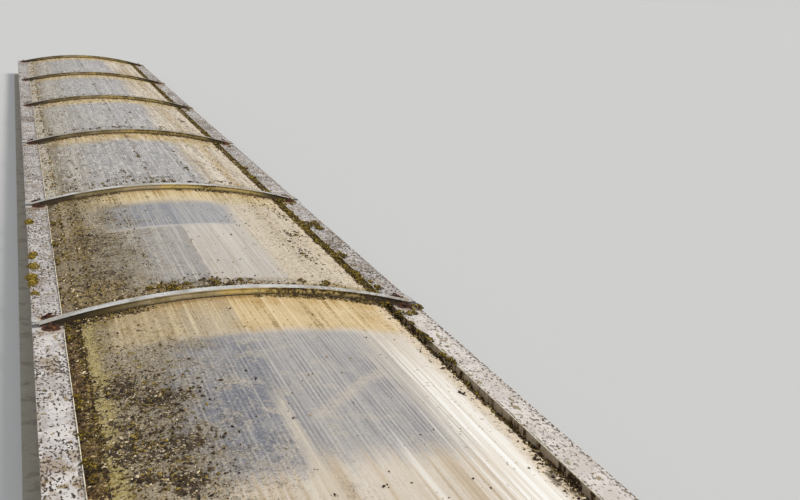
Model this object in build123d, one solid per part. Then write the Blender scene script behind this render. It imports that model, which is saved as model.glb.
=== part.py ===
"""Continuous barrel-vault rooflight with its frame.

A folded steel kerb carries a ring of gutter rails. Hollow-web plastic sheets, curved across the
rooflight, rest on arched support bars and on gaskets along the rails. Arched cap bars hold the
sheets down at every station and are bolted to the rails through foot plates.

X runs across the rooflight, Y along it and Z up. The origin is at the middle of the underside.
All sizes are in millimetres.
"""
import os
from math import asin, cos, degrees, sin, sqrt

from build123d import *

# Run of the rooflight
BAYS = 6
BAY_LENGTH = 2100
RAIL_SPAN = 1680
END_MARGIN = 51

# Kerb, folded from one gauge of sheet steel
KERB_HEIGHT = 150
KERB_SHEET = 2.5
KERB_BASE_FLANGE = 60
KERB_TOP_FLANGE = 193
KERB_LIP = 28
KERB_JOINT_GAP = 0.5

# Gutter rail, an aluminium extrusion
RAIL_WIDTH = 120
RAIL_HEIGHT = 45
RAIL_WALL = 3
RAIL_LIP = 6
TROUGH_WIDTH = 85
SEAT_WIDTH = 20
SEAT_DROP = 1
DRIP_LENGTH = 12
DRIP_CLEARANCE = 4
RAIL_JOINT_GAP = 8

# Arched cap bar, a closed aluminium box with an overhanging flange, rolled to the vault
CAP_CROWN = 125
CAP_WIDTH = 46
CAP_FLANGE = 4
CAP_DEPTH = 30
CAP_OVERHANG = 4
CAP_END_THICKNESS = 3
CAP_GASKET = 3
CAP_GASKET_WIDTH = 42

# Hollow-web glazing sheet
SHEET_THICKNESS = 16
SHEET_SKIN = 1.5
SHEET_WEB = 1.5
SHEET_CELLS = 16
SHEET_OVERHANG = 3
SHEET_JOINT_GAP = 12
END_CLOSER = 2
EDGE_GASKET = 2.8

# Arched support bar under the sheets, a closed aluminium tube
SUPPORT_WIDTH = 50
SUPPORT_DEPTH = 30

# Gable panel that closes the vault at each end
GABLE_THICKNESS = 10
GABLE_SETBACK = 2

# Foot plate, washer plate and bolt that hold each end of a cap bar down
FOOT_LENGTH = 200
FOOT_SHEET = 2.5
FOOT_OVERHANG = 2
BOLT_DIAMETER = 12
BOLT_HEAD_FLATS = 19
BOLT_HEAD_HEIGHT = 7.5
NUT_HEIGHT = 10
BOLT_INSET = 72
BOLT_OFFSET = 62
WASHER_LENGTH = 56
WASHER_WIDTH = 46
WASHER_THICKNESS = 4

# Clearances
FIT = 0.3
SLOT_CLEARANCE = 1

# Levels and places that follow from the sizes above
rail_top = KERB_HEIGHT + RAIL_HEIGHT
half_span = RAIL_SPAN / 2
lip_x = half_span - RAIL_WIDTH
upstand_x = lip_x + RAIL_WALL - TROUGH_WIDTH - RAIL_WALL
seat_top = rail_top - SEAT_DROP
stations = [(i - BAYS / 2) * BAY_LENGTH for i in range(BAYS + 1)]
last_station = stations[-1]
half_length = last_station + END_MARGIN - SEAT_WIDTH + (half_span - upstand_x)
end_shift = half_length - half_span
foot_top = rail_top + RAIL_LIP + FOOT_SHEET
bolt_x = half_span - BOLT_INSET

# The vault: all arcs share one centre line, at height vault_z. The underside of the sheets comes
# down to the thin side of the edge gaskets at the outer edge of the seats.
seat_x = upstand_x + SEAT_WIDTH
sheet_crown = rail_top + CAP_CROWN - CAP_DEPTH - CAP_GASKET - SHEET_THICKNESS
sheet_rise = sheet_crown - seat_top - EDGE_GASKET
support_radius = (seat_x**2 + sheet_rise**2) / (2 * sheet_rise)
sheet_radius = support_radius + SHEET_THICKNESS
gasket_radius = sheet_radius + CAP_GASKET
cap_radius = gasket_radius + CAP_DEPTH
vault_z = sheet_crown - support_radius
sheet_half = seat_x + SHEET_OVERHANG
gable_y = last_station + END_MARGIN - GABLE_SETBACK - GABLE_THICKNESS
vault_axis = Axis((0, 0, vault_z), (0, 1, 0))
TALL = 2 * cap_radius


def plate(x0, z0, x1, z1):
    """A rectangle of a cross-section, from one corner to the other."""
    return Pos((x0 + x1) / 2, (z0 + z1) / 2) * Rectangle(abs(x1 - x0), abs(z1 - z0))


def fused(plates):
    """One clean cross-section from plates that touch or overlap."""
    section = plates[0]
    for other in plates[1:]:
        section = section + other
    return section.clean()


def along_y(section, y0, y1):
    """Extrude a cross-section drawn in X and Z from y0 to y1."""
    start = Plane(origin=(0, y1, 0), x_dir=(1, 0, 0), z_dir=(0, -1, 0))
    return extrude(start * section, y1 - y0)


def block(x0, x1, y0, y1, z0, z1):
    """A plain box between two corners."""
    return Pos((x0 + x1) / 2, (y0 + y1) / 2, (z0 + z1) / 2) * Box(x1 - x0, y1 - y0, z1 - z0)


def mirrored(solid):
    """The same piece on the left-hand side."""
    return mirror(solid, about=Plane.YZ)


def turned_to_end(section):
    """A side member's cross-section, carried across the far end of the rooflight."""
    width = half_span + KERB_BASE_FLANGE
    member = along_y(Pos(end_shift, 0) * section, -width, width)
    return member.rotate(Axis.Z, 90)


def end_mask():
    """Plan area of the far end's members, bounded by the two mitre lines."""
    out = KERB_BASE_FLANGE
    inn = half_span - upstand_x + KERB_TOP_FLANGE
    points = [
        (-half_span - out, half_length + out),
        (half_span + out, half_length + out),
        (half_span - inn, half_length - inn),
        (-half_span + inn, half_length - inn),
    ]
    plan = make_face(Polyline(*points, close=True))
    return extrude(plan, rail_top + CAP_CROWN)


def mitred_side(section):
    """A member along the right-hand side, cut at both corners to meet the end members."""
    reach = half_length + KERB_BASE_FLANGE
    mask = end_mask()
    return along_y(section, -reach, reach) - mask - mask.rotate(Axis.Z, 180)


def kerb_section():
    """Kerb on the right-hand side: base flange, wall, top flange and a stiffening lip."""
    wall_x = half_span - RAIL_WALL - DRIP_CLEARANCE
    inner_x = wall_x - KERB_TOP_FLANGE
    return fused([
        plate(wall_x - KERB_SHEET, 0, wall_x + KERB_BASE_FLANGE, KERB_SHEET),
        plate(wall_x - KERB_SHEET, 0, wall_x, KERB_HEIGHT),
        plate(inner_x, KERB_HEIGHT - KERB_SHEET, wall_x, KERB_HEIGHT),
        plate(inner_x, KERB_HEIGHT - KERB_LIP, inner_x + KERB_SHEET, KERB_HEIGHT),
    ])


def kerb_lengths():
    """Right-hand kerb in its lengths, which meet half-way along the bays, clear of the rail joints."""
    whole = mitred_side(kerb_section())
    reach = half_length + KERB_BASE_FLANGE
    joints = [station + BAY_LENGTH / 2 for station in stations[:-1]]
    starts = [-reach] + [y + KERB_JOINT_GAP / 2 for y in joints]
    stops = [y - KERB_JOINT_GAP / 2 for y in joints] + [reach]
    return [whole & block(0, RAIL_SPAN, y0, y1, 0, TALL) for y0, y1 in zip(starts, stops)]


def rail_section():
    """Gutter rail on the right-hand side, from the sheet's seat out to the drip edge."""
    wall = RAIL_WALL
    return fused([
        plate(upstand_x, seat_top - wall, seat_x, seat_top),
        plate(upstand_x, KERB_HEIGHT, upstand_x + wall, seat_top),
        plate(upstand_x, KERB_HEIGHT, lip_x + wall, KERB_HEIGHT + wall),
        plate(lip_x, KERB_HEIGHT, lip_x + wall, rail_top + RAIL_LIP),
        plate(lip_x, rail_top - wall, half_span, rail_top),
        plate(half_span - wall, KERB_HEIGHT - DRIP_LENGTH, half_span, rail_top),
    ])


def bolt_slots(y):
    """Punched slots in the rail top for the two bolts of a station, open to the rail joint."""
    half = BOLT_DIAMETER / 2 + SLOT_CLEARANCE
    reach = BOLT_OFFSET + half
    return block(bolt_x - half, bolt_x + half, y - reach, y + reach, rail_top - 2 * RAIL_WALL, foot_top)


def side_rail(bay):
    """One bay of rail. The first and last are mitred into the end rails."""
    gap = RAIL_JOINT_GAP / 2
    whole = mitred_side(rail_section())
    y0 = stations[bay] + gap if bay > 0 else -half_length - TROUGH_WIDTH
    y1 = stations[bay + 1] - gap if bay < BAYS - 1 else half_length + TROUGH_WIDTH
    rail = whole & block(0, RAIL_SPAN, y0, y1, 0, TALL)
    for y in (stations[bay], stations[bay + 1]):
        rail = rail - bolt_slots(y)
    return rail


def band(r_in, r_out, half_width):
    """Cross-section between two arcs of the vault, ending at upright faces."""
    ring = Pos(0, vault_z) * (Circle(r_out) - Circle(r_in))
    return ring & plate(-half_width, vault_z, half_width, vault_z + TALL)


def on_arc(radius, angle):
    """Point of an arc of the vault, at an angle from the crown."""
    return (radius * sin(angle), vault_z + radius * cos(angle))


def cell(r_in, r_out, a0, a1):
    """One hollow of the sheet's section, between two skins and two radial webs."""
    corners = [on_arc(r_out, a0), on_arc(r_out, a1), on_arc(r_in, a1), on_arc(r_in, a0)]
    return make_face(Polyline(*corners, close=True))


def sheet_section():
    """Section of the curved sheet: two skins joined by webs that run along the rooflight."""
    section = band(support_radius, sheet_radius, sheet_half)
    inner = support_radius + SHEET_SKIN
    outer = sheet_radius - SHEET_SKIN
    reach = asin((sheet_half - 2 * SHEET_WEB) / sheet_radius)
    pitch = 2 * reach / SHEET_CELLS
    web = SHEET_WEB / sheet_radius
    for i in range(SHEET_CELLS):
        start = -reach + i * pitch
        section = section - cell(inner, outer, start + web / 2, start + pitch - web / 2)
    return section


def sheet_ends(bay):
    """Y of both ends of a sheet. The outermost ends run over the gable panels."""
    gap = SHEET_JOINT_GAP / 2
    verge = last_station + END_MARGIN + SHEET_OVERHANG
    y0 = stations[bay] + gap if bay > 0 else -verge
    y1 = stations[bay + 1] - gap if bay < BAYS - 1 else verge
    return y0, y1


def arched(section, angle):
    """Sweep a section, drawn in Y and Z at the crown, along the vault to both sides."""
    swept = revolve(Plane.YZ * section, axis=vault_axis, revolution_arc=2 * angle)
    return swept.rotate(vault_axis, -angle)


def cap_bar(y):
    """Cap bar of one station: a box under an overhanging flange, cut flat at its feet."""
    crown = vault_z + cap_radius
    edge = CAP_WIDTH / 2
    side = edge - CAP_OVERHANG
    section = fused([
        plate(-edge, crown - CAP_FLANGE, edge, crown),
        plate(-side, crown - CAP_DEPTH, side, crown - CAP_FLANGE),
    ])
    bar = arched(section, degrees(asin(half_span / cap_radius)))
    end_z = foot_top + CAP_END_THICKNESS - vault_z
    end_x = sqrt(cap_radius**2 - end_z**2)
    foot_x = lip_x - FOOT_OVERHANG - FIT
    bar = bar & block(-end_x, end_x, -edge, edge, 0, TALL)
    under_foot = block(foot_x, RAIL_SPAN, -edge, edge, 0, foot_top)
    return Pos(0, y, 0) * (bar - under_foot - mirrored(under_foot))


def support_bar(y):
    """Support bar of one station: a closed tube whose ends meet the upstands of the rails."""
    crown = vault_z + support_radius
    section = plate(-SUPPORT_WIDTH / 2, crown - SUPPORT_DEPTH, SUPPORT_WIDTH / 2, crown)
    bar = arched(section, degrees(asin(half_span / support_radius)))
    reach = block(-upstand_x, upstand_x, -SUPPORT_WIDTH, SUPPORT_WIDTH, 0, TALL)
    return Pos(0, y, 0) * (bar & reach)


def foot_plate(y):
    """Foot plate on the right-hand rail, folded down at its two ends, with two bolt slots."""
    half = FOOT_LENGTH / 2
    inner = lip_x - FOOT_OVERHANG
    fold = lip_x + RAIL_WALL + SLOT_CLEARANCE
    foot = block(inner, half_span + FOOT_OVERHANG, -half, half, foot_top - FOOT_SHEET, foot_top)
    for side in (-1, 1):
        near, far = sorted((side * half, side * (half - FOOT_SHEET)))
        foot = foot + block(fold, half_span, near, far, rail_top, foot_top)
    slot = BOLT_DIAMETER / 2 + SLOT_CLEARANCE
    for y_bolt in (-BOLT_OFFSET, BOLT_OFFSET):
        foot = foot - block(bolt_x - slot, bolt_x + slot, y_bolt - slot, y_bolt + slot, rail_top, TALL)
    return Pos(0, y, 0) * foot


def washer_plate(y):
    """Square-holed washer plate under a bolt head."""
    hole = BOLT_DIAMETER / 2 + FIT
    half_x = WASHER_LENGTH / 2
    half_y = WASHER_WIDTH / 2
    top = foot_top + WASHER_THICKNESS
    body = block(bolt_x - half_x, bolt_x + half_x, -half_y, half_y, foot_top, top)
    return Pos(0, y, 0) * (body - block(bolt_x - hole, bolt_x + hole, -hole, hole, 0, TALL))


def foot_bolt(y):
    """Hex bolt with its nut under the rail top. The shank is eight-sided, to keep its faces few."""
    head_z = foot_top + WASHER_THICKNESS
    nut_z = rail_top - RAIL_WALL
    hexagon = RegularPolygon(BOLT_HEAD_FLATS / 2, 6, major_radius=False)
    head = extrude(Pos(0, 0, head_z) * hexagon, BOLT_HEAD_HEIGHT)
    octagon = RegularPolygon(BOLT_DIAMETER / 2, 8, major_radius=False, rotation=22.5)
    shank = extrude(Pos(0, 0, nut_z) * octagon, head_z - nut_z)
    nut = extrude(Pos(0, 0, nut_z - NUT_HEIGHT) * hexagon, NUT_HEIGHT)
    return Pos(bolt_x, y, 0) * (head + shank + nut)


def cap_gasket(y):
    """Flat rubber strip that seals the joint of two sheets under a cap bar."""
    half = CAP_GASKET_WIDTH / 2
    return along_y(band(sheet_radius, gasket_radius, sheet_half), y - half, y + half)


def edge_gasket():
    """Wedge of rubber between the right-hand seat and the curved sheet."""
    under_sheet = Pos(0, vault_z) * Circle(support_radius - FIT / 2)
    wedge = plate(upstand_x, seat_top, seat_x, TALL) & under_sheet
    return along_y(wedge, -gable_y, gable_y)


def gable_panel():
    """Panel between the far end's seat and the curved sheet."""
    under_sheet = Pos(0, vault_z) * Circle(support_radius)
    panel = plate(-seat_x, seat_top, seat_x, TALL) & under_sheet
    return along_y(panel, gable_y, gable_y + GABLE_THICKNESS)


def end_closer():
    """Strip that closes the hollow ends of the outermost sheet at the far end."""
    _, verge = sheet_ends(BAYS - 1)
    return along_y(band(support_radius, sheet_radius, sheet_half), verge, verge + END_CLOSER)


def both_ends(piece):
    """The far end's piece and the same piece turned round to the near end."""
    return {"far": piece, "near": piece.rotate(Axis.Z, 180)}


def build():
    """All pieces by node name."""
    nodes = {}
    for i, kerb in enumerate(kerb_lengths()):
        nodes[f"kerb_right_{i + 1}"] = kerb
        nodes[f"kerb_left_{i + 1}"] = mirrored(kerb)
    for end, piece in both_ends(turned_to_end(kerb_section()) & end_mask()).items():
        nodes[f"kerb_{end}_end"] = piece
    for end, piece in both_ends(turned_to_end(rail_section()) & end_mask()).items():
        nodes[f"rail_{end}_end"] = piece
    for end, piece in both_ends(gable_panel()).items():
        nodes[f"gable_panel_{end}"] = piece
    nodes["sheet_end_closers"] = Compound(children=list(both_ends(end_closer()).values()))
    for bay in range(BAYS):
        rail = side_rail(bay)
        nodes[f"rail_right_{bay + 1}"] = rail
        nodes[f"rail_left_{bay + 1}"] = mirrored(rail)
        nodes[f"glazing_sheet_{bay + 1}"] = along_y(sheet_section(), *sheet_ends(bay))
    gaskets, feet, washers, bolts = [], [], [], []
    for i, y in enumerate(stations):
        nodes[f"arch_support_{i + 1}"] = support_bar(y)
        nodes[f"arch_cap_{i + 1}"] = cap_bar(y)
        gaskets.append(cap_gasket(y))
        feet.append(foot_plate(y))
        for y_bolt in (y - BOLT_OFFSET, y + BOLT_OFFSET):
            washer, bolt = washer_plate(y_bolt), foot_bolt(y_bolt)
            washers += [washer, mirrored(washer)]
            bolts += [bolt, mirrored(bolt)]
    edge = edge_gasket()
    nodes["edge_gaskets"] = Compound(children=[edge, mirrored(edge)])
    nodes["cap_gaskets"] = Compound(children=gaskets)
    nodes["foot_plates_right"] = Compound(children=feet)
    nodes["foot_plates_left"] = Compound(children=[mirrored(foot) for foot in feet])
    nodes["washer_plates"] = Compound(children=washers)
    nodes["foot_bolts"] = Compound(children=bolts)
    return nodes


os.makedirs("parts", exist_ok=True)
for name, shape in build().items():
    export_step(shape, f"parts/{name}.step")
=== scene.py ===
"""Looks of a long barrel-vault roof skylight, old and weathered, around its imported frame.

X runs across the skylight, Y along it and Z up, in metres, as in the CAD frame.
"""

import bpy
import numpy as np
from mathutils import Matrix, Vector


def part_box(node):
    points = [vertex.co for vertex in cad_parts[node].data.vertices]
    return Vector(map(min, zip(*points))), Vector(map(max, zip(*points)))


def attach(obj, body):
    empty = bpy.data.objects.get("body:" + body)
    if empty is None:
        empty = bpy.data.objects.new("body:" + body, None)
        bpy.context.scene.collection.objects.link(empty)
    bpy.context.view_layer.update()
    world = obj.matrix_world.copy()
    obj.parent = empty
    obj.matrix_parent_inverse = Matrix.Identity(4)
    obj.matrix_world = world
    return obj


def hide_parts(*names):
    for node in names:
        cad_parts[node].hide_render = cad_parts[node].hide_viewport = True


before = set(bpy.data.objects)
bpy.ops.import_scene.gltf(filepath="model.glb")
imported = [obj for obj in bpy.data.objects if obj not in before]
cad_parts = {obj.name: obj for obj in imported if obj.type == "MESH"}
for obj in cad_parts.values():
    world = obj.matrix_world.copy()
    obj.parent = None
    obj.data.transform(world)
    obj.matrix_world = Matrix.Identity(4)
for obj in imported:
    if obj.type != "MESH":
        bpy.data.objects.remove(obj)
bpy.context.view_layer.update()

# Kerb. Four sides of folded, galvanised sheet steel that frame the roof opening. It comes in
# lengths, is screwed to the roof through its foot flange and has gone dull, with white rust
# runs down the wall and dirt washed up round its foot.


def paint(red, green, blue):
    """A colour on the 0 to 255 scale of paint charts, as linear light with full cover."""
    part = np.array([red, green, blue]) / 255
    light = np.where(part <= 0.04045, part / 12.92, ((part + 0.055) / 1.055) ** 2.4)
    return (*light.tolist(), 1.0)


class Amount:
    """A number that changes over a surface. Arithmetic with it adds Math nodes."""

    def __init__(self, finish, socket):
        self.finish = finish
        self.socket = socket

    def math(self, operation, *others):
        """This number and the others, put through one Math node."""
        return self.finish.amount("ShaderNodeMath", {"operation": operation}, self, *others)

    def __add__(self, other):
        return self.math("ADD", other)

    __radd__ = __add__

    def __sub__(self, other):
        return self.math("SUBTRACT", other)

    def __rsub__(self, other):
        return self.math("MULTIPLY_ADD", -1.0, other)

    def __mul__(self, other):
        return self.math("MULTIPLY", other)

    __rmul__ = __mul__

    def __truediv__(self, other):
        return self.math("DIVIDE", other)

    def __or__(self, other):
        return self.math("MAXIMUM", other)

    def __abs__(self):
        return self.math("ABSOLUTE")

    def rise(self, low, high):
        """0 up to low, 1 from high on, and a smooth step between them."""
        return self.finish.amount(
            "ShaderNodeMapRange", {"interpolation_type": "SMOOTHSTEP"}, self, low, high)

    def fall(self, low, high):
        """1 up to low, 0 from high on."""
        return 1 - self.rise(low, high)

    def past(self, limit, soft=0.0005):
        """0 before a limit and 1 past it, with a step of twice soft around it."""
        return self.rise(limit - soft, limit + soft)

    def within(self, low, high, soft):
        """1 between low and high, with such steps around both."""
        return self.past(low, soft) * (1 - self.past(high, soft))


class Finish:
    """A material: one Principled shader, and the nodes that vary it over Object coordinates."""

    def __init__(self, name, **constants):
        self.material = bpy.data.materials.new(name)
        self.material.use_nodes = True
        self.tree = self.material.node_tree
        self.shader = self.tree.nodes["Principled BSDF"]
        for socket, value in constants.items():
            self.shader.inputs[socket.replace("_", " ")].default_value = value
        coordinates = self.node("ShaderNodeTexCoord")
        self.spot = coordinates.outputs["Object"]
        self.x, self.y, self.z = self.parts(self.spot)
        self.to_sky = self.parts(coordinates.outputs["Normal"])[2]

    def join(self, socket, value):
        """Link a socket or an amount to a socket, or set a number on it. None leaves it."""
        if isinstance(value, Amount):
            value = value.socket
        if isinstance(value, bpy.types.NodeSocket):
            self.tree.links.new(value, socket)
        elif value is not None:
            socket.default_value = value

    def node(self, kind, settings=None, *values):
        """A node of any kind: its settings first, then its sockets in order."""
        made = self.tree.nodes.new(kind)
        for name, value in (settings or {}).items():
            setattr(made, name, value)
        for socket, value in zip(made.inputs, values):
            self.join(socket, value)
        return made

    def amount(self, kind, settings, *values):
        """The number that such a node gives."""
        return Amount(self, self.node(kind, settings, *values).outputs[0])

    def parts(self, vector):
        """The three numbers of a vector or a colour."""
        return [Amount(self, part) for part in self.node("ShaderNodeSeparateXYZ", {}, vector).outputs]

    def stretched(self, stretch, shift):
        """Object coordinates multiplied by stretch along each axis, then shifted."""
        if not isinstance(stretch, tuple):
            stretch = (stretch, stretch, stretch)
        return self.node("ShaderNodeVectorMath", {"operation": "MULTIPLY_ADD"},
                         self.spot, stretch, (shift, 1.7 * shift, 0.3 * shift)).outputs[0]

    def cloud(self, stretch, detail=2, shift=0):
        """Soft noise from 0 to 1 with about stretch patches per metre along X, Y and Z."""
        spot = self.stretched(stretch, shift)
        return self.amount("ShaderNodeTexNoise", {}, spot, None, 1.0, detail)

    def noise(self, *settings):
        """The same noise, from -0.5 to 0.5."""
        return self.cloud(*settings) - 0.5

    def flecks(self, stretch, size, share):
        """Round flecks, 1 inside: size is their reach in cells, share how many cells have one."""
        cells = self.node("ShaderNodeTexVoronoi", {}, self.stretched(stretch, 0), None, 1.0)
        chance = self.parts(cells.outputs["Color"])[0]
        near = (size - Amount(self, cells.outputs["Distance"])).rise(0.0, 0.12)
        return near * (share - chance).rise(0.0, 0.02)

    def feed(self, ground, *layers, bump=None, depth=0.001, **others):
        """Join the colour, a bump height of so many metres and other numbers to the shader.

        The colour is the ground with layers over it, one after another, each given as its mask
        and its red, green and blue.
        """
        colour = paint(*ground)
        for mask, *cover in layers:
            mixed = self.node("ShaderNodeMix", {"data_type": "RGBA"})
            for place, value in ((0, mask), (6, colour), (7, paint(*cover))):
                self.join(mixed.inputs[place], value)
            colour = mixed.outputs[2]
        others["Base_Color"] = colour
        if bump is not None:
            made = self.node("ShaderNodeBump")
            self.join(made.inputs["Distance"], depth)
            self.join(made.inputs["Height"], bump)
            others["Normal"] = made.outputs[0]
        for socket, value in others.items():
            self.join(self.shader.inputs[socket.replace("_", " ")], value)


def dress(beginning, finish):
    """Give a finish to every CAD node whose name begins so."""
    for name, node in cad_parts.items():
        if name.startswith(beginning):
            node.data.materials.clear()
            node.data.materials.append(finish.material)


kerb_steel = Finish("dull_galvanised_steel", Roughness=0.5, Metallic=0.25)
spangle = kerb_steel.cloud(60, 1)
run = kerb_steel.cloud((14, 14, 1.2), 3)
washed = kerb_steel.cloud(16, 4, 2)
splash = (kerb_steel.z + (washed - 0.5) * 0.10).fall(0.004, 0.045)
kerb_steel.feed(
    (158, 160, 160),
    (spangle.rise(0.4, 0.62), 174, 176, 176),
    (run.rise(0.52, 0.75) * 0.7, 198, 198, 194),
    (run.fall(0.3, 0.45) * 0.5, 122, 118, 108),
    (splash * 0.7, 168, 158, 138),
    (splash * washed.rise(0.52, 0.64) * 0.6, 122, 108, 78),
    bump=spangle + run + washed * splash,
    depth=0.0006,
    Roughness=0.45 + 0.35 * splash + 0.1 * spangle,
)
dress("kerb_", kerb_steel)

# Gutter rails. Aluminium extrusions that sit on the kerb, mitred at the corners, with a seat for
# the sheets, a trough and a flat top. The top has oxidised to a pale grey under lichen, and the
# near right rail has fewer crusts and is painted whiter as sunlit. The top of the lip is painted
# near white as a highlight, and the trough is stained brown by what lies in it, on faces painted
# pale to stand in for the skylight on them.

LIP_X, LIP_Y = 0.721, 6.417
SEAT_X, SEAT_Y = 0.638, 6.338
RAIL_TOP = 0.195

rail_metal = Finish("lichened_rail_aluminium", Metallic=0.0)
grain = rail_metal.noise(13, 4)
patch = rail_metal.noise(3.1, 2, 3)
thread = rail_metal.noise((110, 60, 110), 3, 5)
rear_rail = rail_metal.y.rise(-4.3, -4.1)
# The near right rail: fewer stains and crusts, and painted whiter as painted light of the sun on it.
lit_and_washed_rail = (1 - rear_rail) * rail_metal.x.rise(-0.1, 0.1)
crust = rail_metal.noise((88, 46, 88), 5)
crust = (crust + 0.22 * patch + 0.3 * thread + 0.015 * rear_rail).rise(0.080, 0.110)
crust = crust * (1 - 0.50 * lit_and_washed_rail)
crust = crust | (thread + 0.3 * patch + 0.02 * rear_rail - 0.02 * lit_and_washed_rail).rise(0.115, 0.145)
stain = (rail_metal.cloud((26, 13, 26), 4, 8) + 0.4 * patch).rise(0.50, 0.64)
moss_film = (rail_metal.cloud((34, 20, 34), 4, 12) + 0.2 * grain).rise(0.62, 0.66)
edge_row = abs(abs(rail_metal.x) - 0.780).rise(0.036, 0.052)
edge_row = edge_row * (thread + 0.3 * grain + 0.04 * lit_and_washed_rail).rise(0.02, 0.05)
across = abs(rail_metal.x)
along = abs(rail_metal.y)
inside_lip = (1 - across.past(LIP_X)) * (1 - along.past(LIP_Y))
outdoors = across.past(SEAT_X) | along.past(SEAT_Y)
# The wet faces of the trough, painted pale as painted light for the skylight on them, under drip
# stains.
lit_wet_trough = inside_lip * outdoors * rail_metal.z.fall(RAIL_TOP - 0.002, RAIL_TOP + 0.0035)
lip = rail_metal.z.rise(RAIL_TOP + 0.0035, RAIL_TOP + 0.0055)
flat_top = rail_metal.to_sky.rise(0.4, 0.8) * (1 - lit_wet_trough)
drips = rail_metal.noise((60, 26, 5), 3, 2)
rail_metal.feed(
    (200, 193, 190),
    (grain.rise(-0.06, 0.08), 222, 215, 210),
    (grain.fall(-0.12, -0.03) * 0.6, 168, 158, 150),
    (stain * (0.65 - 0.5 * lit_and_washed_rail), 160, 136, 104),
    # Painted light: the near right rail whiter as sunlit.
    (lit_and_washed_rail * 0.5, 236, 226, 214),
    (rear_rail * 0.25, 160, 152, 147),
    (flat_top * moss_film * 0.8, 134, 112, 48),
    (flat_top * edge_row * 0.9, 88, 70, 50),
    (flat_top * crust * 0.92, 84, 69, 50),
    (flat_top * crust * (thread + grain).rise(-0.04, 0.06) * 0.8, 56, 44, 32),
    ((1 - flat_top) * drips.rise(-0.05, 0.12) * 0.7, 128, 118, 100),
    # Painted light on the trough faces, with drip stains over it.
    (lit_wet_trough, 222, 204, 176),
    (lit_wet_trough * drips.rise(-0.04, 0.08) * 0.9, 158, 132, 98),
    (lit_wet_trough * (drips + 0.5 * thread).rise(0.06, 0.10), 74, 56, 36),
    # The top of the lip is painted near white as a highlight, with darker dirt patches.
    (lip, 244, 234, 208),
    (lip * (grain + thread).fall(-0.12, -0.04) * 0.8, 160, 140, 96),
    bump=crust * 0.8 + grain * 0.5 + thread * 0.3,
    depth=0.0015,
    Roughness=0.45 + 0.4 * (crust | lit_wet_trough),
)
dress("rail_", rail_metal)

# Edge gaskets. Black rubber wedges pressed between the seats of the side rails and the edges of
# the sheets. Rain has left them grey with dust.

gasket_rubber = Finish("dusty_black_rubber", Metallic=0.0)
dust = gasket_rubber.cloud(38, 4)
gasket_rubber.feed(
    (34, 33, 32),
    (dust.rise(0.45, 0.70) * 0.7, 96, 88, 72),
    bump=dust,
    depth=0.0008,
    Roughness=0.55 + 0.35 * dust,
)
dress("edge_gaskets", gasket_rubber)

# Arched support bars. Closed aluminium tubes rolled to the vault, under the joints of the sheets,
# butted against the upstands of the rails. Indoors they stay mill bright with a film of dust.

support_metal = Finish("mill_bright_aluminium", Metallic=0.8)
drawn = support_metal.cloud((5, 160, 120), 2)
film = support_metal.cloud(6, 3, 4)
support_metal.feed(
    (196, 197, 199),
    (drawn.rise(0.4, 0.6) * 0.5, 176, 177, 180),
    (film.rise(0.50, 0.70) * 0.6, 160, 154, 142),
    bump=drawn,
    depth=0.0002,
    Roughness=0.30 + 0.35 * film.rise(0.4, 0.7),
)
dress("arch_support_", support_metal)

# Glazing sheets. Clear hollow-web plastic, 16 mm thick, one sheet to a bay, bent cold over the
# support bars with its webs along the skylight. Where it is clean, the dark inside seen through it
# is painted on as blue-grey shade, and its webs as pale painted highlights with painted shade
# beside them. Algae stain it tan before each bar, moss and grit cover its left edge, and its
# sunlit right flank is painted pale as a highlight.

SHEET_RADIUS = 2.94410
VAULT_Z = -2.65710
SHEET_THICKNESS = 0.016
SKIN = 0.0010
CELLS = 82
CELL_PITCH = 0.01597
BAYS = 6
BAY = 2.1
LAST_BAR = 6.3


def on_vault(angle, radius):
    """X and Z of a point of the vault: radius times sine and cosine of its angle from the crown."""
    return radius * np.sin(angle), VAULT_Z + radius * np.cos(angle)


def new_piece(name, points, faces, finish):
    """A mesh piece from an array of points and an array of faces of equal length."""
    mesh = bpy.data.meshes.new(name)
    mesh.from_pydata(points.tolist(), [], faces.tolist())
    mesh.materials.append(finish.material)
    piece = bpy.data.objects.new(name, mesh)
    bpy.context.collection.objects.link(piece)
    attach(piece, "root")
    return piece


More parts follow.
